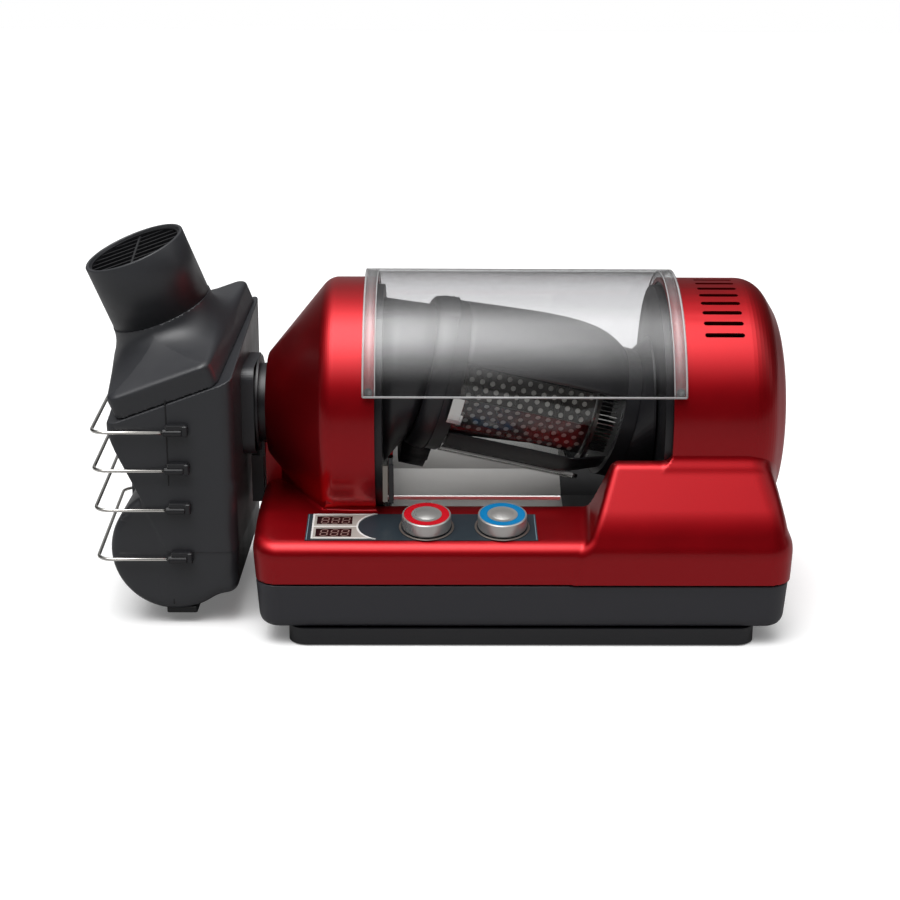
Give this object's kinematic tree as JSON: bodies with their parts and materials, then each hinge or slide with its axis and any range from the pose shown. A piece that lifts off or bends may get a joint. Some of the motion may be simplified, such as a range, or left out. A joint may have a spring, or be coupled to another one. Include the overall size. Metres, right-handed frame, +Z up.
{
  "type": "home coffee bean roaster",
  "caption": "Countertop coffee roaster: tilted glass chamber turning between two red drum-shaped towers under a clear hinged cover, with a side chaff collector and outlet tube.",
  "frame": {"origin": "on the resting plane, under the centre of the bounding box", "axes": "+X to the user's right along the chamber's turning axis, -Y towards the user, +Z up"},
  "size_m": [0.5044, 0.2312, 0.2786],
  "materials": {
    "red_gloss": "gloss",
    "charcoal_satin": "satin, fine grain",
    "black_satin": "satin",
    "clear_cover": "clear, lightly smoked",
    "clear_glass": "clear",
    "steel_bright": "bright sheet",
    "steel_wire": "polished wire",
    "slate_panel": "satin film",
    "silver_beige": "satin",
    "knob_grey": "satin",
    "ring_red": "gloss",
    "ring_blue": "gloss",
    "rubber": "matte",
    "brass_gear": "machined",
    "bronze_bush": "sintered",
    "board_green": "satin",
    "motor_steel": "plain"
  },
  "bodies": {
    "chassis": {"bottom_plate": "charcoal_satin", "rubber_feet": "rubber", "base_tray": "charcoal_satin", "upper_housing": "red_gloss", "left_tower": "red_gloss", "right_tower": "red_gloss", "left_bulkhead": "black_satin", "right_bulkhead": "black_satin", "bay_liner": "black_satin", "reflector_plate": "steel_bright", "bay_side_strips": "steel_bright", "control_panel": "slate_panel", "display_module": "silver_beige", "control_board": "board_green", "left_bearing": "bronze_bush", "right_bearing": "bronze_bush", "exhaust_duct": "steel_bright", "port_frame": "black_satin", "drum_motor": "motor_steel", "motor_bracket": "steel_bright", "heater_duct": "steel_bright", "heater_coil": "motor_steel", "blower_housing": "black_satin", "blower_motor": "motor_steel", "rear_vent_panel": "black_satin", "cord_inlet": "black_satin", "housing_screws": "steel_bright", "hinge_brackets": "black_satin"},
    "drum": {"exhaust_holder": "black_satin", "exhaust_journal": "steel_bright", "front_collar": "black_satin", "chamber_glass": "clear_glass", "chamber_shell": "black_satin", "perforated_screen": "steel_bright", "mixing_vanes": "steel_bright", "sight_band": "black_satin", "chamber_handle": "steel_bright", "latch_tab": "steel_bright", "rear_collar": "black_satin", "drive_holder": "black_satin", "drive_journal": "steel_bright", "drum_gear": "brass_gear"},
    "pinion": {"drive_pinion": "brass_gear"},
    "fan": {"blower_impeller": "black_satin"},
    "cover": {"cover_shell": "clear_cover", "cover_bumpers": "rubber", "hinge_knuckles": "black_satin"},
    "temp_stem": {"temp_shaft": "steel_bright"},
    "temp_dial": {"temp_knob": "knob_grey", "temp_ring": "ring_red"},
    "time_stem": {"time_shaft": "steel_bright"},
    "time_dial": {"time_knob": "knob_grey", "time_ring": "ring_blue"},
    "collector": {"collector_outer_shell": "charcoal_satin", "collector_inner_shell": "charcoal_satin", "wire_guards": "steel_wire", "wire_clips": "black_satin"},
    "cap": {"dust_net": "steel_bright", "collector_cap": "charcoal_satin", "outlet_grille": "black_satin"}
  },
  "joints": [
    {"name": "cover_hinge", "type": "hinge", "parent": "chassis", "child": "cover", "pos_m": [0.06217, 0.1094, 0.139], "axis": [-1, 0, 0], "range_deg": [0, 95]},
    {"name": "drum_spin", "type": "hinge", "parent": "chassis", "child": "drum", "pos_m": [0.06217, 0.0084, 0.146], "axis": [1, 0, 0], "continuous": true},
    {"name": "pinion_spin", "type": "hinge", "parent": "chassis", "child": "pinion", "pos_m": [0.18217, 0.04666, 0.10497], "axis": [1, 0, 0], "continuous": true},
    {"name": "fan_spin", "type": "hinge", "parent": "chassis", "child": "fan", "pos_m": [0.19417, 0.0144, 0.03], "axis": [0, 0, 1], "continuous": true},
    {"name": "temp_push", "type": "slide", "parent": "chassis", "child": "temp_stem", "axis": [0, 0.1925, -0.9813], "range_m": [0, 0.0008], "stiffness_N_per_m": 400, "springref_m": -0.003},
    {"name": "temp_turn", "type": "hinge", "parent": "temp_stem", "child": "temp_dial", "pos_m": [-0.00543, -0.0892, 0.08588], "axis": [0, -0.1925, 0.9813], "continuous": true},
    {"name": "time_push", "type": "slide", "parent": "chassis", "child": "time_stem", "axis": [0, 0.1925, -0.9813], "range_m": [0, 0.0008], "stiffness_N_per_m": 400, "springref_m": -0.003},
    {"name": "time_turn", "type": "hinge", "parent": "time_stem", "child": "time_dial", "pos_m": [0.04777, -0.0892, 0.08588], "axis": [0, -0.1925, 0.9813], "continuous": true},
    {"name": "collector_slide", "type": "slide", "parent": "chassis", "child": "collector", "axis": [-1, 0, 0], "range_m": [0, 0.06]},
    {"name": "cap_slide", "type": "slide", "parent": "collector", "child": "cap", "axis": [-0.3368, -0.1736, 0.9254], "range_m": [0, 0.04]}
  ],
  "couplings": [
    {"joint": "pinion_spin", "follows": "drum_spin", "ratio": -3}
  ]
}
